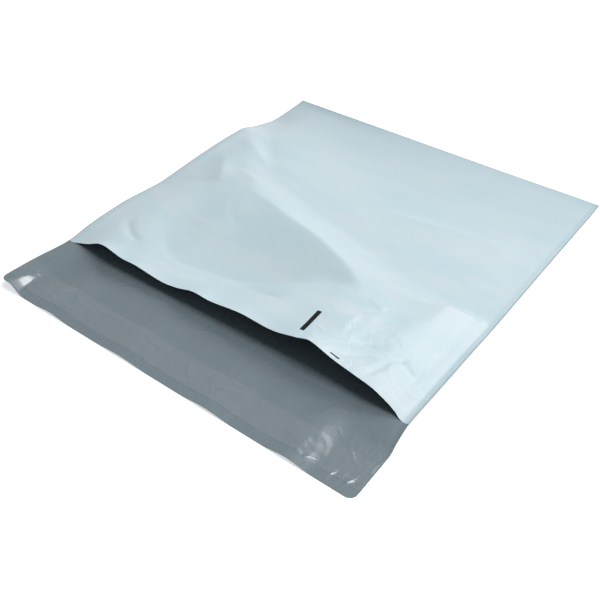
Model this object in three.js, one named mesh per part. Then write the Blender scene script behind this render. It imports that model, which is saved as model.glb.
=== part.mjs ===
// Polythene mailing bag, lying on its back with its mouth open and its flap laid out.
// One web of film is folded across the closed end and welded down both sides.
// The back sheet runs on past the mouth as the flap, which carries a strip of
// adhesive under a peel-off liner.
//
// Millimetres. X runs across the bag, +Y from the mouth to the closed end, +Z up.
// The back sheet lies on Z = 0 and the origin is under the middle of the bag.

import * as THREE from "three";
import { mergeVertices } from "three/addons/utils/BufferGeometryUtils.js";

// Driving dimensions of the flat bag
const BAG_WIDTH = 400;
const BODY_LENGTH = 400;
const FLAP_LENGTH = 80;
const FILM = 0.07;
const WELD_WIDTH = 6;
const FLAP_CORNER = 7;

// Adhesive strip on the flap, and the liner that covers it
const GLUE_INSET = 14;
const GLUE_WIDTH = 20;
const GLUE_THICK = 0.05;
const LINER_OVERLAP = 4;
const LINER_THICK = 0.06;

// How the film lies: height of the open mouth, then how far each lift, bend and crease reaches
const GAPE = 33;
const LEFT_REACH = 55;
const RIGHT_REACH = 16;
const BACK_REACH = 45;
const CURL_REACH = 16;
const LIP_DEPTH = 30;
const DRAW_REACH = 200;
const FOLD_REACH = 32;
const CREASE_REACH = 20;

// Lip drawn back, fold sprung up, height of the flap's ripples, and least gap of the sheets
const LIP_DRAW = 9;
const FOLD_SPRING = 1.4;
const RIPPLE = 3;
const SHEET_GAP = 0.4;

// Steepness of the fall behind the crest, share of a crease that fades at each end,
// and the shares of the flap where its ripples begin and reach their height
const CREST_FALL = 1.4;
const CREASE_END = 0.3;
const RIPPLE_START = 0.05;
const RIPPLE_FULL = 0.6;

// Fineness of the mesh, and how far its cells crowd towards the mouth and the right side
const COLUMNS = 36;
const BODY_ROWS = 32;
const NOSE_STEPS = 4;
const CROWDING = 0.3;

// Places worked out from the dimensions above
const HALF_WIDTH = BAG_WIDTH / 2;
const TOTAL_LENGTH = BODY_LENGTH + FLAP_LENGTH;
const FOLD_Y = TOTAL_LENGTH / 2;
const MOUTH_Y = FOLD_Y - BODY_LENGTH;
const FREE_Y = -TOTAL_LENGTH / 2;
const CREASE_Y = FOLD_Y - FILM;
const GLUE_LOW = FREE_Y + GLUE_INSET;
const GLUE_HIGH = GLUE_LOW + GLUE_WIDTH;
const LINER_LOW = GLUE_LOW - LINER_OVERLAP;
const LINER_HIGH = GLUE_HIGH + LINER_OVERLAP;

// Curves through a few points each. A place along the bag is a share: 1 at the fold,
// 0 at the mouth and -1 at the flap's free edge. A place across it runs from -1 to 1.
// Side welds: place along, then how far the weld is drawn in, then its lift, in mm.
const LEFT_WELD = [
  [-1, 9, 9.5], [-0.5, 9, 8.5], [0, 10, 8], [0.11, 7.5, 8.5], [0.21, 6, 9.5], [0.34, 5, 8],
  [0.48, 5, 12], [0.59, 4.5, 14], [0.69, 4, 12.5], [0.84, 4, 0.5], [1, 0, 0],
];
const RIGHT_WELD = [
  [-1, 0, 0], [-0.38, 0, 0.3], [-0.22, 1.2, 3.6], [0, 2, 6.7], [0.1, 1.6, 5], [0.2, 1.3, 3.4],
  [0.33, 1, 2.4], [0.4, 1, 2], [0.55, 0.8, 1.2], [0.73, 0.5, 0.6], [1, 0, 0],
];
// Curl of the right edge: place along, how far it stands up and how far in it starts, in mm.
const EDGE_CURL = [
  [-0.4, 0, 3], [-0.2, 0.5, 3], [0, 1.6, 5], [0.1, 2.6, 9], [0.2, 3, 13], [0.28, 2.6, 12],
  [0.345, 1, 6], [0.42, 0, 4],
];

// Front sheet at the mouth's edge, and behind it where the edge's waves have died out:
// place across, height as a share of the gape.
const MOUTH_EDGE = [
  [-0.94, 0.3], [-0.82, 0.49], [-0.73, 0.64], [-0.6, 0.49], [-0.5, 0.5], [-0.34, 0.39],
  [-0.24, 0.46], [-0.15, 0.61], [-0.05, 0.585], [0.12, 0.7], [0.29, 0.665], [0.42, 0.85],
  [0.485, 0.98], [0.6, 0.79], [0.72, 0.65], [0.794, 0.58], [0.865, 0.455], [0.976, 0.23],
];
const LIP_LINE = [
  [-0.97, 0.36], [-0.8, 0.45], [-0.3, 0.46], [-0.1, 0.56], [0.1, 0.64], [0.3, 0.69], [0.42, 0.78],
  [0.5, 0.84], [0.6, 0.78], [0.72, 0.66], [0.865, 0.46], [0.976, 0.24],
];
// Lines across the front sheet: place across, place along, height as a share of the gape.
const SAG_LINE = [
  [-0.97, 0.3, 0.36], [-0.8, 0.25, 0.4], [-0.5, 0.12, 0.31], [-0.24, 0.1, 0.23], [-0.06, 0.115, 0.25],
  [0.19, 0.13, 0.39], [0.31, 0.16, 0.49], [0.39, 0.22, 0.6], [0.48, 0.22, 0.63], [0.64, 0.2, 0.59],
  [0.76, 0.21, 0.54], [0.84, 0.2, 0.45], [0.976, 0.2, 0.2],
];
const CREST_LINE = [
  [-0.97, 0.66, 0.42], [-0.8, 0.58, 0.46], [-0.6, 0.47, 0.5], [-0.47, 0.412, 0.55], [-0.33, 0.396, 0.6],
  [-0.16, 0.37, 0.67], [0.07, 0.34, 0.72], [0.3, 0.295, 0.7], [0.4, 0.263, 0.65], [0.48, 0.265, 0.56],
  [0.62, 0.295, 0.4], [0.7, 0.31, 0.43], [0.77, 0.325, 0.48], [0.83, 0.335, 0.41], [0.976, 0.347, 0.12],
];
const FOOT_LINE = [
  [-0.97, 0.82, 0.1], [-0.8, 0.72, 0.26], [-0.6, 0.6, 0.36], [-0.45, 0.53, 0.36], [-0.3, 0.51, 0.26],
  [-0.16, 0.49, 0.17], [0.07, 0.465, 0.09], [0.3, 0.43, 0.06], [0.7, 0.38, 0.06], [0.976, 0.38, 0.06],
];
// How far the rise of the sheet draws the mouth's edge back: place across, share of the draw.
const LIP_PULL = [
  [-1, 0], [-0.9, 0.17], [-0.7, 0.33], [-0.4, 0.44], [0, 0.61], [0.3, 0.78], [0.5, 0.94], [0.7, 1],
  [0.8, 0.94], [0.88, 0.67], [0.95, 0.28], [1, 0],
];
// How sharply the sheet bends over its crest: place across, 0 soft to 1 sharp.
const CREST_BEND = [
  [-0.6, 0], [-0.4, 0.7], [0, 1], [0.4, 1], [0.54, 0.3], [0.68, 0.2], [0.8, 1],
];
// Creases in the front sheet: places across and along, then the rise as a share of the gape
// and the reach to the left and right of the line as shares of the crease reach.
const CREASES = [
  [[[-0.89, 0.535], [-0.8, 0.495], [-0.73, 0.445], [-0.68, 0.405]], 0.097, 1.1, 1.5],
  [[[-0.97, 0.34], [-0.84, 0.37], [-0.7, 0.42]], -0.06, 0.7, 1],
  [[[-0.97, 0.68], [-0.875, 0.645], [-0.75, 0.605], [-0.59, 0.555]], 0.06, 0.9, 0.7],
  [[[-0.77, 0.15], [-0.73, 0.12], [-0.64, 0.085], [-0.53, 0.095]], 0.042, 0.7, 0.7],
  [[[-0.33, 0.055], [-0.23, 0.105], [-0.14, 0.13], [0.18, 0.118]], -0.03, 0.8, 0.8],
  [[[0.54, 0.08], [0.52, 0.13], [0.53, 0.17]], 0.04, 1.3, 0.45],
  [[[0.52, 0.165], [0.56, 0.188], [0.62, 0.195], [0.69, 0.19]], 0.04, 0.45, 1.2],
  [[[0.1, 0.61], [0.42, 0.637], [0.95, 0.663]], 0.04, 0.8, 2.25],
];
// Ripples down the flap: place across, half width in mm, share of the ripple height.
const RIPPLES = [
  [-0.62, 26, 0.9], [-0.18, 34, 0.7], [0.3, 30, 0.8], [0.7, 24, 1],
];

const smooth = THREE.MathUtils.smoothstep;
const lerp = THREE.MathUtils.lerp;
const clamp = THREE.MathUtils.clamp;

// How far a value has gone from one mark to another, from 0 to 1
function part(value, low, high) {
  return clamp((value - low) / (high - low), 0, 1);
}

// A smooth curve through points, never below 0, read at any place: column 0 is the place.
function curve(points, column) {
  const last = points.length - 1;
  const slope = (k) => {
    const a = points[Math.max(k - 1, 0)];
    const b = points[Math.min(k + 1, last)];
    return (b[column] - a[column]) / (b[0] - a[0]);
  };
  return (place) => {
    const at = clamp(place, points[0][0], points[last][0]);
    let k = 0;
    while (k < last - 1 && points[k + 1][0] < at) k += 1;
    const a = points[k];
    const b = points[k + 1];
    const span = b[0] - a[0];
    const t = (at - a[0]) / span;
    const bend = t * (1 - t) * span * ((1 - t) * slope(k) - t * slope(k + 1));
    return Math.max(lerp(a[column], b[column], smooth(t, 0, 1)) + bend, 0);
  };
}

const leftWeld = { pull: curve(LEFT_WELD, 1), lift: curve(LEFT_WELD, 2) };
const rightWeld = { pull: curve(RIGHT_WELD, 1), lift: curve(RIGHT_WELD, 2) };
const curl = { height: curve(EDGE_CURL, 1), reach: curve(EDGE_CURL, 2) };
const mouthHeight = curve(MOUTH_EDGE, 1);
const lipHeight = curve(LIP_LINE, 1);
const lipPull = curve(LIP_PULL, 1);
const crestBend = curve(CREST_BEND, 1);
const guides = [SAG_LINE, CREST_LINE, FOOT_LINE].map((line) => ({
  along: curve(line, 1),
  height: curve(line, 2),
}));
const creases = CREASES.map(([places, rise, left, right]) => {
  const points = places.map(
    ([place, share]) => new THREE.Vector3(place * HALF_WIDTH, MOUTH_Y + share * BODY_LENGTH, 0),
  );
  return {
    lines: points.slice(1).map((end, k) => new THREE.Line3(points[k], end)),
    rise: rise * GAPE,
    left: left * CREASE_REACH,
    right: right * CREASE_REACH,
  };
});

// Share along the bag at a given Y
function along(y) {
  const past = y - MOUTH_Y;
  return past >= 0 ? past / BODY_LENGTH : past / FLAP_LENGTH;
}

// The two outer edges of the film at a given Y, with the flap's corners rounded off
function edges(y) {
  const share = along(y);
  const low = -HALF_WIDTH + leftWeld.pull(share);
  const high = HALF_WIDTH - rightWeld.pull(share);
  const into = Math.max(FLAP_CORNER - (y - FREE_Y), 0);
  const inset = FLAP_CORNER - Math.sqrt(FLAP_CORNER ** 2 - into ** 2);
  return [low + inset, high - inset];
}

// Place of one column of the mesh at a given Y; the first and last cells are the welds
function across(column, y) {
  const [low, high] = edges(y);
  if (column === 0) return low;
  if (column === COLUMNS) return high;
  const weld = Math.min(WELD_WIDTH, (high - low) / COLUMNS);
  const t = (column - 1) / (COLUMNS - 2);
  return lerp(low + weld, high - weld, t + CROWDING * t * (1 - t));
}

function inPocket(column) {
  return column > 1 && column < COLUMNS - 1;
}

// How far the film stands up along its right edge
function edgeCurl(column, y) {
  const share = along(y);
  const fromEdge = edges(y)[1] - across(column, y);
  return curl.height(share) * (1 - part(fromEdge, 0, curl.reach(share))) ** 2;
}

// Outer face of the back sheet: flat on the floor, lifted at the welds, rippled at the flap
function backHeight(column, y) {
  const share = along(y);
  const flapShare = Math.max(-share, 0);
  const first = across(1, y);
  const last = across(COLUMNS - 1, y);
  const x = clamp(across(column, y), first, last);
  const reach = lerp(BACK_REACH, CURL_REACH, smooth(flapShare, 0, 1));
  const fromLeft = smooth(x - first, 0, reach);
  const fromRight = smooth(last - x, 0, reach);
  let ripple = 0;
  for (const [place, half, size] of RIPPLES) {
    ripple += size * RIPPLE * (1 - smooth(Math.abs(x - place * HALF_WIDTH), 0, half));
  }
  ripple *= smooth(flapShare, RIPPLE_START, RIPPLE_FULL) * fromLeft * fromRight;
  const lifted = leftWeld.lift(share) * (1 - fromLeft) + rightWeld.lift(share) * (1 - fromRight);
  const spring = FOLD_SPRING * (1 - part(FOLD_Y - y, 0, FOLD_REACH)) ** 2;
  return lifted + edgeCurl(column, y) + ripple + spring;
}

// Height of one crease: sharp along its line, fading to both sides and towards its ends
function creaseHeight(x, y, { lines, rise, left, right }) {
  const point = new THREE.Vector3(x, y, 0);
  const foot = new THREE.Vector3();
  const length = lines.reduce((sum, line) => sum + line.distance(), 0);
  let near = Infinity;
  let side = 0;
  let place = 0;
  let before = 0;
  for (const line of lines) {
    const t = line.closestPointToPointParameter(point, true);
    const off = line.at(t, foot).distanceTo(point);
    if (off < near) {
      near = off;
      place = (before + t * line.distance()) / length;
      side = line.delta(new THREE.Vector3()).cross(point.clone().sub(line.start)).z;
    }
    before += line.distance();
  }
  const ends = smooth(Math.min(place, 1 - place), 0, CREASE_END);
  return rise * ends * (1 - part(near, 0, side > 0 ? left : right)) ** 2;
}

// Height of the front sheet over the floor, from line to line, sharp where the crest is sharp
function billow(x, y) {
  const place = x / HALF_WIDTH;
  const share = along(y);
  const [sagAt, crestAt, footAt] = guides.map((line) => line.along(place));
  const [sag, crest, foot] = guides.map((line) => line.height(place));
  const sharp = crestBend(place);
  const lip = lipHeight(place);
  const flare = (1 - part(y - MOUTH_Y, 0, LIP_DEPTH)) ** 2;
  const climb = part(share, sagAt, crestAt);
  const drop = part(share, crestAt, footAt);
  let height = lip + (mouthHeight(place) - lip) * flare;
  height += (sag - lip) * part(share, 0, sagAt);
  height += (crest - sag) * lerp(smooth(climb, 0, 1), climb, sharp);
  height += (foot - crest) * lerp(smooth(drop, 0, 1), 1 - (1 - drop) ** CREST_FALL, sharp);
  height -= foot * smooth(share, footAt, 1);
  return creases.reduce((sum, line) => sum + creaseHeight(x, y, line), height * GAPE);
}

// Inner face of the front sheet; it meets the back sheet at the welds and at the fold
function frontHeight(column, y) {
  const floor = backHeight(column, y) + FILM;
  if (!inPocket(column)) return floor;
  const x = across(column, y);
  const share = along(y);
  const fromLeft = x - across(1, y);
  const fromRight = across(COLUMNS - 1, y) - x;
  const riseLeft = Math.sin((Math.PI / 2) * part(fromLeft, 0, LEFT_REACH));
  const riseRight = smooth(fromRight, -RIGHT_REACH, RIGHT_REACH) * 2 - 1;
  let height = lerp(leftWeld.lift(share), billow(x, y), riseLeft);
  height = lerp(rightWeld.lift(share), height, riseRight) + edgeCurl(column, y);
  const apart = SHEET_GAP * riseLeft * riseRight * smooth(CREASE_Y - y, 0, LEFT_REACH);
  return Math.max(height, floor + apart);
}

// How far the rise of the front sheet draws it back from the mouth
function drawnBack(column, y) {
  if (!inPocket(column)) return 0;
  const fade = 1 - part(y - MOUTH_Y, 0, DRAW_REACH);
  return LIP_DRAW * lipPull(across(column, y) / HALF_WIDTH) * fade;
}

// Rows of the mesh along Y
function steps(from, to, count, crowding) {
  return Array.from({ length: count + 1 }, (_, k) => {
    const t = k / count;
    return lerp(from, to, t - crowding * t * (1 - t));
  });
}
const bodyRows = steps(MOUTH_Y, CREASE_Y, BODY_ROWS, CROWDING);
const cornerRows = [90, 60, 35, 15, 0].map((deg) => {
  const turn = THREE.MathUtils.degToRad(deg);
  return FREE_Y + FLAP_CORNER * (1 - Math.cos(turn));
});
const flapRows = [
  ...steps(MOUTH_Y, LINER_HIGH, 4, 0),
  GLUE_HIGH,
  (GLUE_LOW + GLUE_HIGH) / 2,
  GLUE_LOW,
  LINER_LOW,
  ...cornerRows,
].reverse();

// Faces are collected here as triangles, each quad turning anticlockwise seen from outside
class Skin {
  constructor() {
    this.points = [];
  }

  quad(a, b, c, d) {
    this.points.push(...a, ...b, ...c, ...a, ...c, ...d);
  }

  // A grid of quads over columns and rows; it faces up unless told to face down
  sheet(place, columns, rows, faceUp) {
    for (let j = 0; j + 1 < rows.length; j += 1) {
      for (let i = columns[0]; i < columns[1]; i += 1) {
        const a = place(i, rows[j]);
        const b = place(i + 1, rows[j]);
        const c = place(i + 1, rows[j + 1]);
        const d = place(i, rows[j + 1]);
        const corners = i < COLUMNS / 2 ? [b, c, d, a] : [a, b, c, d];
        if (!faceUp) corners.push(...corners.splice(1).reverse());
        this.quad(...corners);
      }
    }
  }

  // A wall between two lines of points, the upper one first
  wall(upper, lower) {
    for (let k = 0; k + 1 < upper.length; k += 1) {
      this.quad(upper[k], lower[k], lower[k + 1], upper[k + 1]);
    }
  }

  geometry() {
    const raw = new THREE.BufferGeometry();
    raw.setAttribute("position", new THREE.Float32BufferAttribute(this.points, 3));
    const joined = mergeVertices(raw, 1e-3);
    joined.computeVertexNormals();
    return joined;
  }
}

const columnsAll = Array.from({ length: COLUMNS + 1 }, (_, i) => i);
const backOuter = (i, y) => [across(i, y), y, backHeight(i, y)];
const backInner = (i, y) => [across(i, y), y, backHeight(i, y) + FILM];
const frontInner = (i, y) => [across(i, y), y + drawnBack(i, y), frontHeight(i, y)];
const frontOuter = (i, y) => [across(i, y), y + drawnBack(i, y), frontHeight(i, y) + FILM];

function filmPouch() {
  const skin = new Skin();
  const whole = [0, COLUMNS];
  const pocket = [1, COLUMNS - 1];

  // the four faces of the folded web
  skin.sheet(frontOuter, whole, bodyRows, true);
  skin.sheet(backOuter, whole, bodyRows, false);
  skin.sheet(backOuter, whole, flapRows, false);
  skin.sheet(frontInner, pocket, bodyRows, false);
  skin.sheet(backInner, pocket, bodyRows, true);
  skin.sheet(backInner, whole, flapRows, true);

  // cut edges down both sides: two layers along the body, one along the flap
  for (const side of [0, COLUMNS]) {
    const rows = side === 0 ? [...bodyRows].reverse() : bodyRows;
    const tailRows = side === 0 ? [...flapRows].reverse() : flapRows;
    skin.wall(rows.map((y) => frontOuter(side, y)), rows.map((y) => backInner(side, y)));
    skin.wall(rows.map((y) => backInner(side, y)), rows.map((y) => backOuter(side, y)));
    skin.wall(tailRows.map((y) => backInner(side, y)), tailRows.map((y) => backOuter(side, y)));
  }

  // cut edge of the front sheet at the mouth, and of the flap at its free end
  skin.wall(
    columnsAll.map((i) => frontOuter(i, MOUTH_Y)),
    columnsAll.map((i) => frontInner(i, MOUTH_Y)),
  );
  skin.wall(
    columnsAll.map((i) => backInner(i, FREE_Y)),
    columnsAll.map((i) => backOuter(i, FREE_Y)),
  );

  // the fold: a half round of film outside the crease
  const nose = (i, k) => {
    const turn = Math.PI * (k / NOSE_STEPS - 0.5);
    const [x, y, z] = backInner(i, CREASE_Y);
    return [x, y + FILM * Math.cos(turn), z + FILM * Math.sin(turn)];
  };
  for (let k = 0; k < NOSE_STEPS; k += 1) {
    const back = [...columnsAll].reverse();
    skin.wall(back.map((i) => nose(i, k + 1)), back.map((i) => nose(i, k)));
    for (const side of [0, COLUMNS]) {
      const centre = backInner(side, CREASE_Y);
      const pair = side === 0 ? [nose(side, k + 1), nose(side, k)] : [nose(side, k), nose(side, k + 1)];
      skin.points.push(...centre, ...pair[0], ...pair[1]);
    }
  }
  return skin.geometry();
}

// A thin band across the flap, lying over the film
function flapBand(low, high, lift, thick) {
  const rows = flapRows.filter((y) => y >= low - 1e-6 && y <= high + 1e-6);
  const under = (i, y) => [across(i, y), y, backHeight(i, y) + FILM + lift];
  const over = (i, y) => [across(i, y), y, backHeight(i, y) + FILM + lift + thick];
  const skin = new Skin();
  const whole = [0, COLUMNS];
  skin.sheet(over, whole, rows, true);
  skin.sheet(under, whole, rows, false);
  skin.wall(columnsAll.map((i) => over(i, low)), columnsAll.map((i) => under(i, low)));
  const back = [...columnsAll].reverse();
  skin.wall(back.map((i) => over(i, high)), back.map((i) => under(i, high)));
  const down = [...rows].reverse();
  skin.wall(down.map((y) => over(0, y)), down.map((y) => under(0, y)));
  skin.wall(rows.map((y) => over(COLUMNS, y)), rows.map((y) => under(COLUMNS, y)));
  return skin.geometry();
}

function piece(name, geometry, colour, roughness) {
  const material = new THREE.MeshStandardMaterial({ color: colour, roughness, metalness: 0 });
  const mesh = new THREE.Mesh(geometry, material);
  mesh.name = name;
  return mesh;
}

const group = new THREE.Group();
group.add(piece("film_pouch", filmPouch(), 0xc4d6dc, 0.35));
group.add(piece("adhesive_strip", flapBand(GLUE_LOW, GLUE_HIGH, 0, GLUE_THICK), 0x8f9496, 0.25));
group.add(
  piece("release_liner", flapBand(LINER_LOW, LINER_HIGH, GLUE_THICK, LINER_THICK), 0x6c7174, 0.3),
);

export default group;
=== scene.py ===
import math

import bpy
import numpy as np
from mathutils import Matrix, Vector


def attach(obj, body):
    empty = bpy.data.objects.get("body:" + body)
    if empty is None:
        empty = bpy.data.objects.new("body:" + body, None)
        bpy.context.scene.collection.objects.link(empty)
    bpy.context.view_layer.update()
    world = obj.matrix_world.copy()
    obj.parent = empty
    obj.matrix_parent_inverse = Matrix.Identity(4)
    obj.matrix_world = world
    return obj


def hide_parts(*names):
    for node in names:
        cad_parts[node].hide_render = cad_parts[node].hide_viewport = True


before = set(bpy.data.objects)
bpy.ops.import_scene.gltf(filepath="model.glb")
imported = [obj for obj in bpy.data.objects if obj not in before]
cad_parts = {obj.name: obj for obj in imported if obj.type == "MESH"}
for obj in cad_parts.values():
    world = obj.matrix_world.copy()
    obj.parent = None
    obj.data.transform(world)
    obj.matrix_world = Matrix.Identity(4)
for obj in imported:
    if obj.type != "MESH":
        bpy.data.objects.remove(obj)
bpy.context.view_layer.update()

MM = 0.001

# Flat sizes of the bag, in metres
HALF_WIDTH = 200 * MM
BODY_LENGTH = 400 * MM
FLAP_LENGTH = 80 * MM
FILM_THICK = 0.07 * MM
WELD_WIDTH = 6 * MM
FLAP_CORNER = 7 * MM
GLUE_INSET = 14 * MM
GLUE_WIDTH = 20 * MM
GLUE_THICK = 0.05 * MM
LINER_OVERLAP = 4 * MM
LINER_THICK = 0.06 * MM

# How the film lies: heights, depths and reaches, in metres
GAPE = 33 * MM
LEFT_REACH = 55 * MM
RIGHT_REACH = 16 * MM
FAR_REACH = 50 * MM
BACK_REACH = 45 * MM
CURL_REACH = 16 * MM
LIP_DEPTH = 30 * MM
RIPPLE = 3 * MM
FOLD_REACH = 32 * MM
PINCH_REACH = 5 * MM
SHEET_GAP = 0.4 * MM

# Where one lie passes into another, as shares of the body, the flap or the pocket's width
FAR_START, FAR_FULL = 0.36, 0.46
DRAWN_BACK_END = 0.5
PULL_EASE = 0.02
RIPPLE_START, RIPPLE_FULL = 0.05, 0.6

# Powers that shape both sides of a sharp crest, and how a crease fades towards its ends
CLIMB_POWER, DROP_POWER = 1.3, 1.4
CREASE_FADE = (-0.06, 0.3)

# Fineness of the mesh: cells across the pocket, across a weld, and along the web
POCKET_CELLS = 176
WELD_CELLS = 4
BODY_CELLS = 180
FLAP_CELLS = 28
CORNER_CELLS = 6
NOSE_CELLS = 6
BAND_CELLS = 16

# How far columns crowd to the right and rows to both ends, how near points join, and what bend is sharp
COLUMN_CROWDING = 0.4
ROW_CROWDING = 0.07
JOIN_WITHIN = 0.002 * MM
SHARP_ANGLE = math.radians(50)

# Printing marks on the flat front sheet: two sides across it, then two ends from the fold, as shares
BAR = (0.6867, 0.6984, 0.8852, 0.9687)
BAR_LEAN = 0.111
THIN_MARK = (0.7863, 0.8096, 0.9866, 0.9906)
PRINT_BLUR = 0.0008

# Colours: two tones are mixed by the film's own pattern, and one tone is laid over another
PALE_TONES = (0.518, 0.66, 0.71, 1), (0.59, 0.682, 0.728, 1)
# Painted shade: the film is made darker towards the fold and towards the left side.
FOLD_SHADE_TONE = (0.42, 0.53, 0.58, 1)
# Painted shade along the fold line, stronger towards both ends.
FOLD_LINE_SHADE_TONE = (0.3, 0.44, 0.49, 1)
WELDED_TONE = (0.36, 0.48, 0.52, 1)
# Painted shade: a thin dark line along the cut side edges.
EDGE_SHADE_TONE = (0.2, 0.23, 0.235, 1)
INK_TONE = (0.008, 0.008, 0.009, 1)
INSIDE_TONES = (0.163, 0.207, 0.232, 1), (0.183, 0.229, 0.255, 1)
LINER_TONES = (0.172, 0.218, 0.242, 1), (0.2, 0.246, 0.27, 1)
GLUE_TONES = (0.12, 0.145, 0.155, 1), (0.2, 0.23, 0.24, 1)
FLOOR_TONE = (0.8, 0.8, 0.8, 1)
ROOM_TONE = (0.96, 1, 1.03, 1)

# Fine relief: depth of bumps, pitch of a weld's ribs, blur of its line, and what each form adds
FILM_BUMP = 1.2 * MM
GLUE_BUMP = 0.4 * MM
RIB_PITCH = 2.4 * MM
WELD_BLUR = 0.0012
FACET_SHARE, WAVE_SHARE, RIB_SHARE = 0.55, 0.6, 0.05

# Crumples on the flat web: how many cells, how far their sides bend, how wide the lines between them are
CRUMPLE_CELLS = 15.0
CRUMPLE_BEND = 0.09
CRUMPLE_LINE = 0.16

# Room light: everywhere, added for the camera, and added in the film's sheen
ROOM_LEVEL, ROOM_SEEN, ROOM_MIRRORED = 0.22, 0.78, 0.48
# Floor: its side, how far it lies below the bag, and its glow for the camera and in the film's sheen
FLOOR_SIZE = 2.6
FLOOR_DROP = 0.2 * MM
FLOOR_GLOW = 0.55
# Lamps: turn round the bag and tilt above it in degrees, distance and size in metres, watts, colour
LAMPS = [
    ("softbox", 64, 43, 2.2, 1.7, 26.5, (1, 0.945, 0.95)),
    ("top_light", -5, 73, 1.3, 0.5, 9.1, (0.97, 1, 1)),
    ("back_panel", 120, 14, 2, 0.8, 1.1, (1, 0.97, 0.97)),
]
# Camera: lens and sensor in millimetres, its place, and which way the picture's right and up point
LENS, SENSOR = 47.5, 36
CAMERA_AT = (0.36307, -0.53774, 0.47004)
CAMERA_RIGHT = (0.8012, 0.5980, 0.0220)
CAMERA_UP = (-0.3995, 0.5072, 0.7636)

# Places along the bag, from the sizes above
FOLD_Y = (BODY_LENGTH + FLAP_LENGTH) / 2
MOUTH_Y = FOLD_Y - BODY_LENGTH
FREE_Y = -FOLD_Y
CREASE_Y = FOLD_Y - FILM_THICK
GLUE_LOW = FREE_Y + GLUE_INSET
GLUE_HIGH = GLUE_LOW + GLUE_WIDTH
LINER_LOW = GLUE_LOW - LINER_OVERLAP
LINER_HIGH = GLUE_HIGH + LINER_OVERLAP

# Curves through a few points each. A place along the bag is a share: 1 at the fold,
# 0 at the mouth and -1 at the flap's free edge. A place across it runs from -1 to 1.

# Side welds: place along, then how far the edge is drawn in and its lift, in millimetres.
LEFT_WELD = [
    (-1, 9, 9.5), (-0.5, 9, 8.5), (0, 10, 7), (0.07, 8.5, 9.8), (0.19, 6.5, 11.2), (0.28, 5.5, 8.8),
    (0.335, 5, 7.7), (0.46, 5, 12), (0.574, 4.5, 14.4), (0.655, 4, 14.5), (0.69, 4, 13.6), (0.73, 4, 8.8),
    (0.78, 4, 4.2), (0.84, 4, 0.3), (1, 0, 0),
]
RIGHT_WELD = [
    (-1, 0, 0), (-0.38, 0, 0.3), (-0.22, 1.2, 3.6), (0, 2, 6.7), (0.1, 1.6, 5), (0.2, 1.3, 3.4),
    (0.33, 1, 2.8), (0.4, 1, 3), (0.55, 0.8, 2.8), (0.73, 0.5, 1.8), (1, 0, 0),
]
# Curl of the right edge: place along, how far it stands up, and how far in it starts, in millimetres.
EDGE_CURL = [
    (-0.4, 0, 3), (-0.2, 0.5, 3), (0, 1.6, 5), (0.1, 2.6, 9), (0.2, 3, 13), (0.28, 2.6, 12), (0.345, 1, 6),
    (0.42, 0, 4),
]
# Front sheet at the mouth's edge, and behind it where the edge's waves have died out:
# place across, height as a share of the gape.
MOUTH_EDGE = [
    (-0.94, 0.36), (-0.82, 0.54), (-0.73, 0.68), (-0.6, 0.5), (-0.5, 0.5), (-0.34, 0.39), (-0.24, 0.46),
    (-0.15, 0.61), (-0.05, 0.585), (0.12, 0.7), (0.29, 0.665), (0.42, 0.85), (0.485, 0.97), (0.6, 0.765),
    (0.72, 0.63), (0.794, 0.56), (0.865, 0.44), (0.928, 0.325), (0.976, 0.23),
]
LIP_LINE = [
    (-0.97, 0.38), (-0.8, 0.46), (-0.6, 0.42), (-0.45, 0.38), (-0.3, 0.36), (-0.1, 0.5), (0.1, 0.65),
    (0.3, 0.7), (0.42, 0.81), (0.5, 0.88), (0.6, 0.77), (0.72, 0.64), (0.794, 0.56), (0.865, 0.45),
    (0.928, 0.33), (0.976, 0.24),
]
# Lines across the front sheet: place across, place along, height as a share of the gape.
SAG_LINE = [
    (-0.97, 0.3, 0.36), (-0.8, 0.25, 0.4), (-0.5, 0.11, 0.16), (-0.24, 0.122, 0.06), (-0.06, 0.148, 0.07),
    (0.07, 0.182, 0.18), (0.19, 0.212, 0.36), (0.31, 0.235, 0.5), (0.39, 0.235, 0.585), (0.48, 0.2, 0.6),
    (0.57, 0.21, 0.58), (0.64, 0.2, 0.53), (0.72, 0.21, 0.53), (0.78, 0.207, 0.48), (0.84, 0.2, 0.395),
    (0.9, 0.2, 0.315), (0.976, 0.2, 0.21),
]
CREST_LINE = [
    (-0.97, 0.66, 0.42), (-0.8, 0.58, 0.52), (-0.6, 0.475, 0.53), (-0.47, 0.42, 0.56), (-0.33, 0.403, 0.6),
    (-0.16, 0.374, 0.66), (0.07, 0.342, 0.7), (0.3, 0.294, 0.67), (0.4, 0.268, 0.6), (0.48, 0.268, 0.52),
    (0.55, 0.28, 0.45), (0.62, 0.295, 0.42), (0.72, 0.317, 0.43), (0.78, 0.336, 0.46), (0.84, 0.347, 0.38),
    (0.9, 0.352, 0.29), (0.976, 0.36, 0.18),
]
FOOT_LINE = [
    (-0.97, 0.82, 0.1), (-0.8, 0.72, 0.31), (-0.6, 0.6, 0.38), (-0.45, 0.53, 0.36), (-0.3, 0.51, 0.26),
    (-0.16, 0.49, 0.17), (0.07, 0.465, 0.09), (0.3, 0.43, 0.06), (0.4, 0.42, 0.06), (0.55, 0.41, 0.06),
    (0.7, 0.39, 0.06), (0.77, 0.38, 0.07), (0.976, 0.395, 0.06),
]
# How far the mouth's edge is drawn back by the sheet's rise: place across, millimetres.
LIP_PULL = [
    (-1, 0), (-0.9, 1.5), (-0.7, 3), (-0.4, 4), (0, 5.8), (0.3, 7.2), (0.5, 7.6), (0.7, 7), (0.8, 6),
    (0.88, 3.8), (0.95, 1.5), (1, 0),
]
# How sharply the sheet bends over its crest: place across, 0 soft to 1 sharp.
CREST_BEND = [
    (-1, 0), (-0.6, 0), (-0.4, 0.5), (0, 0.65), (0.25, 0.6), (0.42, 0.35), (0.54, 0.3), (0.68, 0.2), (0.8, 1),
    (1, 1),
]
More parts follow.
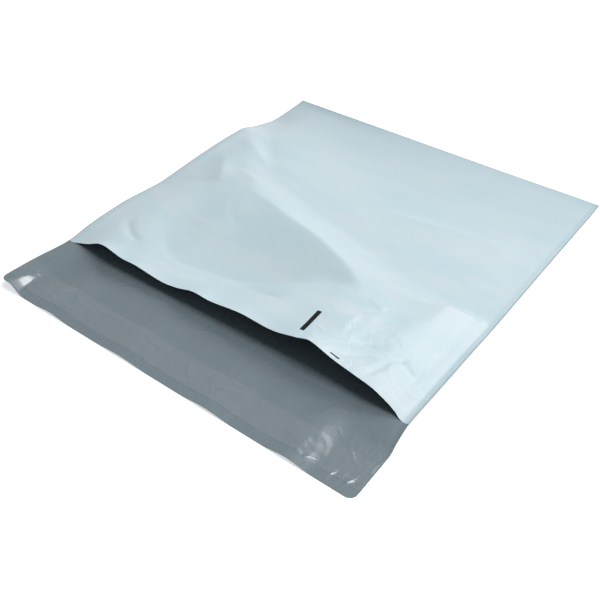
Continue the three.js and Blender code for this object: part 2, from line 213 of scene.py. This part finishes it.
# Creases in the front sheet: points in millimetres, rise, and reach to the left and right of the line.
CREASES = [
    ([(-178, 54), (-160, 38), (-146, 18), (-136, 2)], 3.2, 22, 30),
    ([(-194, -24), (-168, -12), (-140, 8)], -2, 14, 20),
    ([(-194, 112), (-175, 98), (-150, 82), (-118, 62)], 1.6, 18, 14),
    ([(-142, 34), (-112, 30), (-92, 18)], 0.7, 10, 9),
    ([(-138, -56), (-108, -62), (-77, -64)], 0.4, 12, 12),
    ([(-102, -20), (-88, -34), (-68, -48)], -0.6, 12, 12),
    ([(-166, -97), (-159, -111), (-146, -121), (-128, -127)], -2.6, 9, 13),
    ([(-66, -138), (-46, -118), (-28, -107), (-8, -112), (36, -113)], -1, 16, 16),
    ([(0, -116), (20, -114), (38, -115)], -0.7, 5, 6),
    ([(108, -128), (104, -108), (106, -92)], 1.3, 26, 9),
    ([(104, -94), (112, -85), (124, -82), (138, -84)], 1.3, 9, 24),
    ([(98, -64), (108, -70), (120, -72)], 1, 8, 8),
    ([(116, -134), (134, -120), (148, -106)], -1, 10, 12),
    ([(148, -119), (158, -117), (168, -118), (181, -122)], -1.3, 5, 7),
    ([(120, -149), (133, -138), (146, -131)], -1.5, 5, 6),
    ([(124, -125), (139, -120)], -1.1, 4, 5),
    ([(148, -152), (153, -134), (156, -123)], -1.3, 5, 6),
    ([(181, -109), (185, -130)], -1.3, 4, 5),
    ([(158, -119), (166, -111)], -1, 3, 4),
    ([(20, 84), (84, 95), (127, 102), (190, 105)], 1.8, 14, 45),
]
# How far the end at the fold springs up, and the pinch of the fold itself: place across, millimetres.
FOLD_LIFT = [
    (-1, 0.6, 0.5), (-0.8, 0.7, 0.5), (-0.4, 0.9, 0.5), (0, 1, 0.4), (0.5, 1.2, 0.3), (0.8, 1.8, 0.3),
    (1, 1.8, 0.3),
]
# Ripples down the flap: place across, half width in millimetres, share of the ripple height.
RIPPLES = [(-0.62, 26, 0.9), (-0.18, 34, 0.7), (0.3, 30, 0.8), (0.7, 24, 1)]
# Puckers along the glued edge of the flap, written as the creases are.
PUCKERS = [
    ([(171, -234), (176, -222)], 0.8, 3, 3),
    ([(179, -233), (184, -221)], 0.6, 3, 3),
    ([(186, -232), (191, -220)], 0.8, 3, 4),
    ([(150, -233), (154, -223)], 0.5, 3, 3),
    ([(96, -233), (101, -222)], 0.6, 4, 4),
    ([(-40, -234), (-34, -222)], 0.6, 4, 4),
    ([(-128, -233), (-122, -222)], 0.7, 4, 4),
]


def lerp(a, b, t):
    """The value a share t of the way from a to b."""
    return a + (b - a) * t


def part(value, low, high):
    """How far a value has come from low to high, from 0 to 1."""
    return np.clip((value - low) / (high - low), 0, 1)


def smooth(value, low, high):
    """As part, but easing off at both ends."""
    t = part(value, low, high)
    return t * t * (3 - 2 * t)


def curve(points, column):
    """A smooth curve through points, read at any place: column 0 is the place."""
    place = np.array([p[0] for p in points], float)
    height = np.array([p[column] for p in points], float)
    before = np.r_[0, np.arange(len(points) - 1)]
    after = np.r_[np.arange(1, len(points)), len(points) - 1]
    slope = (height[after] - height[before]) / (place[after] - place[before])

    def read(at):
        at = np.clip(at, place[0], place[-1])
        k = np.clip(np.searchsorted(place, at) - 1, 0, len(points) - 2)
        span = place[k + 1] - place[k]
        t = (at - place[k]) / span
        bend = t * (1 - t) * span * ((1 - t) * slope[k] - t * slope[k + 1])
        return lerp(height[k], height[k + 1], t * t * (3 - 2 * t)) + bend

    return read


LEFT_PULL, LEFT_LIFT = [curve(LEFT_WELD, k) for k in (1, 2)]
RIGHT_PULL, RIGHT_LIFT = [curve(RIGHT_WELD, k) for k in (1, 2)]
CURL, CURL_WIDTH = [curve(EDGE_CURL, k) for k in (1, 2)]
MOUTH_HEIGHT = curve(MOUTH_EDGE, 1)
LIP_HEIGHT = curve(LIP_LINE, 1)
DRAWN_BACK = curve(LIP_PULL, 1)
SPRING, PINCH = [curve(FOLD_LIFT, k) for k in (1, 2)]
BEND = curve(CREST_BEND, 1)
GUIDES = [(curve(line, 1), curve(line, 2)) for line in (SAG_LINE, CREST_LINE, FOOT_LINE)]


def stack(x, y, z):
    """Points of one grid from coordinates that may be single numbers, rows or columns."""
    return np.stack(np.broadcast_arrays(x, y, z), axis=-1)


def along(y):
    """Place along the bag, as a share: 1 at the fold, 0 at the mouth, -1 at the flap's free edge."""
    past = y - MOUTH_Y
    return np.where(past >= 0, past / BODY_LENGTH, past / FLAP_LENGTH)


def edges(y):
    """The two outer edges of the film at a given Y, with the flap's corners rounded off."""
    share = along(y)
    low = -HALF_WIDTH + np.maximum(LEFT_PULL(share), 0) * MM
    high = HALF_WIDTH - np.maximum(RIGHT_PULL(share), 0) * MM
    into = np.clip(FLAP_CORNER - (y - FREE_Y), 0, FLAP_CORNER)
    inset = FLAP_CORNER - np.sqrt(FLAP_CORNER**2 - into**2)
    return low + inset, high - inset


def across(column, y):
    """Place across the web: columns 0 to 1 and 2 to 3 are the welds, 1 to 2 is the pocket."""
    low, high = edges(y)
    left = low + WELD_WIDTH * column
    right = high - WELD_WIDTH * (3 - column)
    middle = lerp(low + WELD_WIDTH, high - WELD_WIDTH, column - 1)
    return np.where(column <= 1, left, np.where(column >= 2, right, middle))


def weld_lines(y):
    """Heights of the two weld lines."""
    share = along(y)
    return [np.maximum(lift(share), 0) * MM for lift in (LEFT_LIFT, RIGHT_LIFT)]


def edge_curl(column, y):
    """How far the film stands up along its right edge."""
    share = along(y)
    from_edge = edges(y)[1] - across(column, y)
    fade = (1 - part(from_edge, 0, CURL_WIDTH(share) * MM)) ** 2
    return np.maximum(CURL(share), 0) * MM * fade


def crease(x, y, points, rise, left, right):
    """Height of one crease: sharp along its line, fading to both sides and towards its ends."""
    line = np.array(points) * MM
    step = np.diff(line, axis=0)
    length = np.hypot(*step.T)
    start = np.r_[0, np.cumsum(length)]
    near = np.full(np.broadcast(x, y).shape, np.inf)
    side, place = np.zeros_like(near), np.zeros_like(near)
    for (px, py), (dx, dy), size, before in zip(line, step, length, start):
        t = np.clip(((x - px) * dx + (y - py) * dy) / size**2, 0, 1)
        off = np.hypot(x - px - t * dx, y - py - t * dy)
        closer = off < near
        near = np.where(closer, off, near)
        side = np.where(closer, dx * (y - py) - dy * (x - px), side)
        place = np.where(closer, (before + t * size) / start[-1], place)
    reach = np.where(side > 0, left, right) * MM
    ends = smooth(np.minimum(place, 1 - place), *CREASE_FADE)
    return rise * MM * np.clip(1 - near / reach, 0, 1) ** 2 * ends


def back_height(column, y):
    """Outer face of the back sheet: flat on the floor, lifted at the welds, rippled at the flap."""
    flap = np.clip(-along(y), 0, 1)
    first, last = across(np.float64(1), y), across(np.float64(2), y)
    x = np.clip(across(column, y), first, last)
    left, right = weld_lines(y)
    reach = lerp(BACK_REACH, CURL_REACH, smooth(flap, 0, 1))
    from_left, from_right = smooth(x - first, 0, reach), smooth(last - x, 0, reach)
    ripple = 0
    for place, half, share in RIPPLES:
        ripple = ripple + share * RIPPLE * (1 - smooth(np.abs(x - place * HALF_WIDTH), 0, half * MM))
    height = left * (1 - from_left) + right * (1 - from_right) + edge_curl(column, y)
    height = height + ripple * smooth(flap, RIPPLE_START, RIPPLE_FULL) * from_left * from_right
    height = height + SPRING(x / HALF_WIDTH) * MM * (1 - part(FOLD_Y - y, 0, FOLD_REACH)) ** 2
    height = height + PINCH(x / HALF_WIDTH) * MM * (1 - part(FOLD_Y - y, 0, PINCH_REACH)) ** 2
    for pucker in PUCKERS:
        height = height + crease(x, y, *pucker)
    return height


def billow(x, y):
    """Height of the front sheet over the floor, from line to line, sharp where the crest is sharp."""
    place, share = x / HALF_WIDTH, along(y)
    (sag_at, sag), (crest_at, crest), (foot_at, foot) = [(at(place), high(place)) for at, high in GUIDES]
    sharp = BEND(place)
    lip = LIP_HEIGHT(place)
    climb, drop = part(share, sag_at, crest_at), part(share, crest_at, foot_at)
    height = lip + (MOUTH_HEIGHT(place) - lip) * (1 - part(y - MOUTH_Y, 0, LIP_DEPTH)) ** 2
    height = height + (sag - lip) * part(share, 0, sag_at)
    height = height + (crest - sag) * lerp(smooth(climb, 0, 1), climb**CLIMB_POWER, sharp)
    height = height + (foot - crest) * lerp(smooth(drop, 0, 1), 1 - (1 - drop) ** DROP_POWER, sharp)
    height = GAPE * (height - foot * smooth(share, foot_at, 1))
    for line in CREASES:
        height = height + crease(x, y, *line)
    return height


def front_height(column, y):
    """Inner face of the front sheet; it meets the back sheet at the welds and at the fold."""
    floor = back_height(column, y) + FILM_THICK
    first, last = across(np.float64(1), y), across(np.float64(2), y)
    x = across(column, y)
    left, right = weld_lines(y)
    rise_left = np.sin(np.pi / 2 * part(x - first, 0, LEFT_REACH))
    reach = lerp(RIGHT_REACH, FAR_REACH, smooth(along(y), FAR_START, FAR_FULL))
    rise_right = smooth(last - x, -reach, reach) * 2 - 1
    height = lerp(left, billow(x, y), rise_left)
    height = lerp(right, height, rise_right) + edge_curl(column, y)
    apart = SHEET_GAP * rise_left * rise_right * smooth(CREASE_Y - y, 0, LEFT_REACH)
    in_pocket = (column > 1) & (column < 2)
    return np.where(in_pocket, np.maximum(height, floor + apart), floor)


def front_place(column, y):
    """A point of the front sheet's inner face; the rise of the sheet draws its near half back."""
    x = across(column, y)
    pocket = part(column - 1, 0, PULL_EASE) * part(2 - column, 0, PULL_EASE)
    fade = 1 - part(along(y), 0, DRAWN_BACK_END)
    back = np.maximum(DRAWN_BACK(x / HALF_WIDTH), 0) * MM * fade * pocket
    return stack(x, y + back, front_height(column, y))


def columns():
    """Columns of the mesh, closer together towards the right, where the film is crumpled."""
    weld = np.linspace(0, 1, WELD_CELLS + 1)
    t = np.linspace(0, 1, POCKET_CELLS + 1)
    pocket = 1 + t + COLUMN_CROWDING * t * (1 - t)
    return np.concatenate([weld[:-1], pocket[:-1], weld + 2])[None, :]


def body_rows():
    """Rows of the body, closer together towards the mouth and the fold."""
    t = np.linspace(0, 1, BODY_CELLS + 1)
    return lerp(MOUTH_Y, CREASE_Y, t - ROW_CROWDING * np.sin(2 * math.pi * t))[:, None]


def flap_rows():
    """Rows of the flap, closer together round its corners."""
    turn = np.linspace(0, math.pi / 2, CORNER_CELLS + 1)
    corner = FREE_Y + FLAP_CORNER * (1 - np.cos(turn))
    return np.r_[corner, np.linspace(corner[-1], MOUTH_Y, FLAP_CELLS + 1)[1:]][:, None]


class Web:
    """Collects grids of points as faces, and welds the points that fall together."""

    def __init__(self):
        self.points, self.flat, self.faces, self.finish = [], [], [], []
        self.count = 0

    def grid(self, points, flat, finish, turned=False, coarse=False):
        """Adds one grid; flat are its places on the flat web, finish is the number of its material."""
        rows, cols = points.shape[:2]
        index = np.arange(rows * cols).reshape(rows, cols) + self.count
        faces = self.coarse(index) if coarse else self.fine(index)
        if turned:
            faces = [face[:1] + face[:0:-1] for face in faces]
        self.faces += faces
        self.finish += [finish] * len(faces)
        self.points.append(points.reshape(-1, 3))
        self.flat.append(np.broadcast_to(flat, (rows, cols, 2)).reshape(-1, 2))
        self.count += rows * cols

    @staticmethod
    def fine(index):
        """Cells of one by one."""
        corners = [index[:-1, :-1], index[:-1, 1:], index[1:, 1:], index[1:, :-1]]
        return np.stack([c.ravel() for c in corners], axis=1).tolist()

    @staticmethod
    def coarse(index):
        """Cells of two by two, which keep every point along the grid's own border."""
        rows, cols = index.shape
        faces = []
        for j in range(0, rows - 1, 2):
            for i in range(0, cols - 1, 2):
                low, right = index[j, i:i + 3], index[j:j + 3, i + 2]
                high, left = index[j + 2, i:i + 3][::-1], index[j:j + 3, i][::-1]
                border = (j == 0, i == cols - 3, j == rows - 3, i == 0)
                face = []
                for side, kept in zip((low, right, high, left), border):
                    face += side[:2].tolist() if kept else [int(side[0])]
                faces.append(face)
        return faces

    def piece(self, name, materials):
        """Joins the points that fall together and makes the piece."""
        sizes = [len(face) for face in self.faces]
        loops = np.concatenate(self.faces)
        points, flat = np.concatenate(self.points)[loops], np.concatenate(self.flat)[loops]
        keys = np.round(points / JOIN_WITHIN).astype(np.int64)
        _, keep, joined = np.unique(keys, axis=0, return_index=True, return_inverse=True)
        faces = np.split(joined.ravel(), np.cumsum(sizes)[:-1])
        mesh = bpy.data.meshes.new(name)
        mesh.from_pydata(points[keep].tolist(), [], [face.tolist() for face in faces])
        layer = mesh.uv_layers.new(name="web")
        layer.data.foreach_set("uv", flat.astype(np.float32).ravel())
        mesh.polygons.foreach_set("material_index", np.array(self.finish, np.int32))
        mesh.polygons.foreach_set("use_smooth", np.ones(len(faces), bool))
        for material in materials:
            mesh.materials.append(material)
        mesh.validate()
        mesh.set_sharp_from_angle(angle=SHARP_ANGLE)
        made = bpy.data.objects.new(name, mesh)
        bpy.context.scene.collection.objects.link(made)
        return made


def flat_places(column, rows, sign):
    """Places on the flat web: across from 0 to 1, along from the fold in body lengths."""
    u = across(column, np.float64(CREASE_Y)) / (2 * HALF_WIDTH) + 0.5
    return np.stack(np.broadcast_arrays(u, sign * (FOLD_Y - rows) / BODY_LENGTH), axis=-1)


def film_pouch(outside, inside):
    """The web, doubled over at the fold, as one closed surface: both sheets, the flap, the fold's nose and
    the cut edges.
    """
    column, body, flap = columns(), body_rows(), flap_rows()
    pocket = slice(WELD_CELLS, WELD_CELLS + POCKET_CELLS + 1)

    def back_place(rows):
        return stack(across(column, rows), rows, back_height(column, rows))

    front_in, back_out, flap_out = front_place(column, body), back_place(body), back_place(flap)
    thick = np.array([0, 0, FILM_THICK])
    front_out, back_in, flap_in = front_in + thick, back_out + thick, flap_out + thick
    front_flat, back_flat = flat_places(column, body, 1), flat_places(column, body, -1)
    flap_flat = flat_places(column, flap, -1)

    web = Web()
    web.grid(front_out, front_flat, 0)
    web.grid(back_out, back_flat, 0, turned=True, coarse=True)
    web.grid(flap_out, flap_flat, 0, turned=True)
    web.grid(front_in[:, pocket], front_flat[:, pocket], 1, turned=True)
    web.grid(back_in[:, pocket], back_flat[:, pocket], 1, coarse=True)
    web.grid(flap_in, flap_flat, 1)
    for side, turned in ((0, False), (-1, True)):
        web.grid(np.stack([back_in[:, side], front_out[:, side]]), front_flat[:, side], 0, turned)
        web.grid(np.stack([back_out[:, side], back_in[:, side]]), back_flat[:, side], 0, turned)
        web.grid(np.stack([flap_out[:, side], flap_in[:, side]]), flap_flat[:, side], 1, turned)
    web.grid(np.stack([front_in[0], front_out[0]]), front_flat[0], 0)
    web.grid(np.stack([flap_out[0], flap_in[0]]), flap_flat[0], 1)
    turns = np.linspace(-math.pi / 2, math.pi / 2, NOSE_CELLS + 1)
    nose = np.stack([back_in[-1] + FILM_THICK * np.array([0, math.cos(t), math.sin(t)]) for t in turns])
    web.grid(nose, front_flat[-1], 0, turned=True)
    for side, turned in ((0, False), (-1, True)):
        crease_end = np.stack([back_in[-1, side]] * (NOSE_CELLS + 1))
        web.grid(np.stack([crease_end, nose[:, side]]), front_flat[-1, side], 0, turned)
    return web.piece("film_bag", [outside, inside])


def flap_band(name, low, high, lift, thick, material):
    """A thin band across the flap, lying over the film."""
    column = columns()
    rows = np.linspace(low, high, BAND_CELLS + 1)[:, None]
    under = stack(across(column, rows), rows, back_height(column, rows) + FILM_THICK + lift)
    over = under + np.array([0, 0, thick])
    flat = flat_places(column, rows, -1)
    web = Web()
    web.grid(over, flat, 0)
    web.grid(under, flat, 0, turned=True)
    for row, turned in ((0, False), (-1, True)):
        web.grid(np.stack([under[row], over[row]]), flat[row], 0, turned)
    for side, turned in ((0, True), (-1, False)):
        web.grid(np.stack([under[:, side], over[:, side]]), flat[:, side], 0, turned)
    return web.piece(name, [material])


class Graph:
    """Short ways to add and join nodes in one material or node group."""

    def __init__(self, tree):
        self.tree = tree

    def add(self, kind, values=None, **settings):
        """Adds a node; a value for one of its sockets may be a number or another socket to join."""
        node = self.tree.nodes.new(kind)
        for key, value in settings.items():
            setattr(node, key, value)
        for socket, value in (values or {}).items():
            if isinstance(value, bpy.types.NodeSocket):
                self.tree.links.new(value, node.inputs[socket])
            else:
                node.inputs[socket].default_value = value
        return node

    def math(self, operation, *values):
        """One step of arithmetic on numbers or sockets."""
        return self.add("ShaderNodeMath", dict(enumerate(values)), operation=operation).outputs[0]

    def ramp(self, value, low, high, to_low=0.0, to_high=1.0):
        """Passes smoothly from to_low to to_high while the value goes from low to high."""
        values = {"Value": value, "From Min": low, "From Max": high, "To Min": to_low, "To Max": to_high}
        return self.add("ShaderNodeMapRange", values, interpolation_type="SMOOTHSTEP").outputs["Result"]

    def mix(self, share, a, b):
        """Colour a, or colour b where the share is 1."""
        return self.add("ShaderNodeMix", {0: share, 6: a, 7: b}, data_type="RGBA").outputs[2]

    def group(self, tree, values=None):
        """The outputs of a shared node group."""
        return self.add("ShaderNodeGroup", values, node_tree=tree).outputs


def film_group():
    """Fine lie of thin film: soft waviness, crisp crumples, drawing streaks and the welds' ribs."""
    tree = bpy.data.node_groups.new("film_surface", "ShaderNodeTree")
    for name in ("Crumple", "Height", "Streaks", "Clouds", "Weld"):
        way = "INPUT" if name == "Crumple" else "OUTPUT"
        tree.interface.new_socket(name, in_out=way, socket_type="NodeSocketFloat")
    g = Graph(tree)
    crumple = g.add("NodeGroupInput").outputs["Crumple"]
    web = g.add("ShaderNodeUVMap", uv_map="web").outputs[0]

    def noise(u, v, roughness):
        place = g.add("ShaderNodeMapping", {"Vector": web, "Scale": (u, v, 1)}).outputs[0]
        values = {"Vector": place, "Scale": 1.0, "Detail": 4.0, "Roughness": roughness}
        return g.add("ShaderNodeTexNoise", values).outputs["Fac"]

    warp = g.add("ShaderNodeTexNoise", {"Vector": web, "Scale": 18.0, "Detail": 2.0}).outputs["Color"]
    values = {0: warp, 1: (CRUMPLE_BEND, CRUMPLE_BEND, 0), 2: web}
    bent = g.add("ShaderNodeVectorMath", values, operation="MULTIPLY_ADD").outputs[0]

    def cells(feature):
        values = {"Vector": bent, "Scale": CRUMPLE_CELLS}
        return g.add("ShaderNodeTexVoronoi", values, feature=feature).outputs["Distance"]

    lines = g.ramp(cells("DISTANCE_TO_EDGE"), 0.0, CRUMPLE_LINE, 1.0, 0.0)
    facets = g.math("MULTIPLY", cells("F1"), FACET_SHARE)
    crisp = g.math("MULTIPLY", g.math("ADD", lines, facets), crumple)
    waves = g.math("MULTIPLY", noise(7, 14, roughness=0.55), WAVE_SHARE)

    split = g.add("ShaderNodeSeparateXYZ", {"Vector": web})
    off = g.math("ABSOLUTE", g.math("SUBTRACT", split.outputs["X"], 0.5))
    line = 0.5 - WELD_WIDTH / (2 * HALF_WIDTH)
    weld = g.ramp(off, line - WELD_BLUR, line + WELD_BLUR)
    turns = g.math("MULTIPLY", split.outputs["Y"], 2 * math.pi * BODY_LENGTH / RIB_PITCH)
    ribs = g.math("MULTIPLY", g.math("MULTIPLY", g.math("SINE", turns), weld), RIB_SHARE)
    results = {
        "Height": g.math("ADD", g.math("ADD", waves, crisp), ribs),
        "Streaks": noise(90, 3, roughness=0.6),
        "Clouds": g.ramp(noise(4, 11, roughness=0.6), 0.3, 0.7),
        "Weld": weld,
    }
    g.add("NodeGroupOutput", results)
    return tree


def new_material(name, **constants):
    """A new material, a graph for its nodes, and its shader; constants are values of the shader's sockets."""
    made = bpy.data.materials.new(name)
    made.use_nodes = True
    shader = made.node_tree.nodes["Principled BSDF"]
    for socket, value in constants.items():
        shader.inputs[socket.replace("_", " ")].default_value = value
    return made, Graph(made.node_tree), shader


def bump(g, shader, height, distance, strength):
    """Lets a height stand out in the shader's normal."""
    node = g.add("ShaderNodeBump", {"Height": height, "Distance": distance, "Strength": strength})
    g.tree.links.new(node.outputs[0], shader.inputs["Normal"])


def outside_film(film):
    """Pale satin film with two plain printing marks near the mouth, and painted shade towards the fold, along
    the fold line and at the cut side edges.
    """
    made, g, shader = new_material("outside_film")
    web = g.add("ShaderNodeSeparateXYZ", {"Vector": g.add("ShaderNodeUVMap", uv_map="web").outputs[0]})
    u, v = web.outputs["X"], web.outputs["Y"]
    off = g.math("ABSOLUTE", g.math("SUBTRACT", u, 0.5))
    from_fold = g.math("ABSOLUTE", v)

    def times(a, b):
        return g.math("MULTIPLY", a, b)

    def between(value, low, high):
        begun = g.ramp(value, low - PRINT_BLUR, low + PRINT_BLUR)
        return times(begun, g.ramp(value, high - PRINT_BLUR, high + PRINT_BLUR, 1.0, 0.0))

    def printed(left, right, first, last, lean=0.0):
        slid = times(g.math("SUBTRACT", v, (first + last) / 2), lean)
        return times(between(g.math("SUBTRACT", u, slid), left, right), between(v, first, last))

    # Each ramp runs between two places on the flat web, then between the values it has there.
    near_mouth = times(g.ramp(u, 0.64, 0.74), g.ramp(v, 0.76, 0.86))
    crumple = times(near_mouth, g.ramp(u, 0.8, 0.92, 0.5, 0.25))
    look = g.group(film, {"Crumple": g.math("ADD", crumple, 0.05)})

    marks = g.math("MAXIMUM", printed(*BAR, BAR_LEAN), printed(*THIN_MARK))
    ink = times(marks, g.ramp(look["Streaks"], 0.2, 0.4, 0.97, 1.0))
    # Painted shade: darker towards the fold on both sheets, more so on the left.
    fold_shade = times(g.ramp(from_fold, 0.0, 0.4, 1.0, 0.0), g.ramp(u, 0.05, 0.7, 1.0, 0.5))
    # Painted shade in a narrow line along the fold, stronger towards its ends.
    at_ends = g.ramp(g.math("ABSOLUTE", g.math("SUBTRACT", u, 0.58)), 0.24, 0.5, 0.06, 0.5)
    fold_line_shade = times(g.ramp(from_fold, 0.004, 0.04, 1.0, 0.0), at_ends)
    welded = g.ramp(off, 0.472, 0.497, 0.0, 0.3)
    # Painted shade in a thin line along the cut side edges.
    edge_shade = g.ramp(off, 0.4955, 0.499, 0.0, 0.6)
    colour = g.mix(look["Clouds"], *PALE_TONES)
    for share, tone in (
        (fold_shade, FOLD_SHADE_TONE),
        (fold_line_shade, FOLD_LINE_SHADE_TONE),
        (welded, WELDED_TONE),
        (edge_shade, EDGE_SHADE_TONE),
        (ink, INK_TONE),
    ):
        colour = g.mix(share, colour, tone)
    # As a black metal, the ink keeps only a little of the film's sheen.
    g.tree.links.new(ink, shader.inputs["Metallic"])
    g.tree.links.new(colour, shader.inputs["Base Color"])
    rough = g.ramp(look["Streaks"], 0.2, 0.8, 0.28, 0.38)
    rough = g.math("SUBTRACT", rough, times(look["Weld"], 0.08))
    g.tree.links.new(rough, shader.inputs["Roughness"])
    bump(g, shader, look["Height"], FILM_BUMP, strength=0.35)
    return made


def inside_film(film):
    """Dark grey glossy film."""
    made, g, shader = new_material("inside_film")
    look = g.group(film, {"Crumple": 0.25})
    grey = g.mix(look["Streaks"], *INSIDE_TONES)
    g.tree.links.new(grey, shader.inputs["Base Color"])
    g.tree.links.new(g.ramp(look["Streaks"], 0.2, 0.8, 0.25, 0.29), shader.inputs["Roughness"])
    bump(g, shader, look["Height"], FILM_BUMP, strength=0.4)
    return made


def liner_film(film):
    """Thin clear liner, which shows the grey film below it."""
    made, g, shader = new_material("liner_film", Coat_Weight=0.4, Coat_Roughness=0.08)
    look = g.group(film, {"Crumple": 0.5})
    grey = g.mix(look["Streaks"], *LINER_TONES)
    g.tree.links.new(grey, shader.inputs["Base Color"])
    g.tree.links.new(g.ramp(look["Streaks"], 0.2, 0.8, 0.12, 0.2), shader.inputs["Roughness"])
    bump(g, shader, look["Height"], FILM_BUMP, strength=0.5)
    return made


def tacky_glue():
    """Hot-melt adhesive, drawn out in strands along the strip."""
    made, g, shader = new_material("tacky_glue", Coat_Weight=0.3)
    web = g.add("ShaderNodeUVMap", uv_map="web").outputs[0]
    drawn = g.add("ShaderNodeMapping", {"Vector": web, "Scale": (12, 520, 1)}).outputs[0]
    strands = g.add("ShaderNodeTexNoise", {"Vector": drawn, "Scale": 1.0, "Detail": 3.0}).outputs["Fac"]
    grey = g.mix(strands, *GLUE_TONES)
    g.tree.links.new(grey, shader.inputs["Base Color"])
    g.tree.links.new(g.ramp(strands, 0.3, 0.7, 0.12, 0.3), shader.inputs["Roughness"])
    bump(g, shader, strands, GLUE_BUMP, strength=0.5)
    return made


def ray_masks(g):
    """Masks of the rays straight from the camera, and of those by way of gloss or glass."""
    light = g.add("ShaderNodeLightPath").outputs
    return light["Is Camera Ray"], g.math("MAXIMUM", light["Is Glossy Ray"], light["Is Transmission Ray"])


def floor_paint():
    """Pale floor that looks white to the camera and still takes the shadow."""
    constants = {"Base_Color": FLOOR_TONE, "Roughness": 0.9, "Emission_Strength": FLOOR_GLOW}
    made, g, shader = new_material("floor_paint", **constants)
    glow = g.math("ADD", *ray_masks(g))
    g.tree.links.new(glow, shader.inputs["Emission Color"])
    return made


def photo_camera():
    """The camera, placed where the photo was taken from."""
    data = bpy.data.cameras.new("camera")
    data.lens = LENS
    data.sensor_width = SENSOR
    camera = bpy.data.objects.new("camera", data)
    bpy.context.scene.collection.objects.link(camera)
    right, up = Vector(CAMERA_RIGHT).normalized(), Vector(CAMERA_UP).normalized()
    turn = Matrix((right, up, right.cross(up))).transposed().to_4x4()
    camera.matrix_world = Matrix.Translation(CAMERA_AT) @ turn
    bpy.context.scene.camera = camera


def lamp(name, turn, tilt, far, size, power, colour):
    """A square lamp aimed at the bag, placed by its angles round and above it, in degrees."""
    turn, tilt = math.radians(turn), math.radians(tilt)
    data = bpy.data.lights.new(name, "AREA")
    data.size = size
    data.energy = power
    data.color = colour
    made = bpy.data.objects.new(name, data)
    level = far * math.cos(tilt)
    made.location = (level * math.cos(turn), level * math.sin(turn), far * math.sin(tilt))
    made.rotation_euler = made.location.to_track_quat("Z", "Y").to_euler()
    bpy.context.scene.collection.objects.link(made)


def white_room():
    """A dim even room, which looks white to the camera and in the film's sheen."""
    world = bpy.data.worlds.new("studio")
    world.use_nodes = True
    g = Graph(world.node_tree)
    seen, mirrored = ray_masks(g)
    bright = g.math("ADD", g.math("MULTIPLY", seen, ROOM_SEEN), g.math("MULTIPLY", mirrored, ROOM_MIRRORED))
    background = world.node_tree.nodes["Background"]
    background.inputs["Color"].default_value = ROOM_TONE
    g.tree.links.new(g.math("ADD", bright, ROOM_LEVEL), background.inputs["Strength"])
    return world


def studio():
    """The room, its lamps and the floor under the bag."""
    scene = bpy.context.scene
    scene.view_settings.view_transform = "Standard"
    scene.world = white_room()
    for values in LAMPS:
        lamp(*values)
    bpy.ops.mesh.primitive_plane_add(size=FLOOR_SIZE, location=(0, 0, -FLOOR_DROP))
    floor = bpy.context.object
    floor.name = "floor"
    floor.data.materials.append(floor_paint())


photo_camera()
studio()
film = film_group()
bag = film_pouch(outside_film(film), inside_film(film))
glue = flap_band("glue_strip", GLUE_LOW, GLUE_HIGH, 0, GLUE_THICK, tacky_glue())
liner = flap_band("peel_liner", LINER_LOW, LINER_HIGH, GLUE_THICK, LINER_THICK, liner_film(film))
for made, node, slot in (
    (bag, "film_pouch", "film"),
    (glue, "adhesive_strip", "adhesive"),
    (liner, "release_liner", "liner"),
):
    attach(made, "root")
    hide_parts(node)
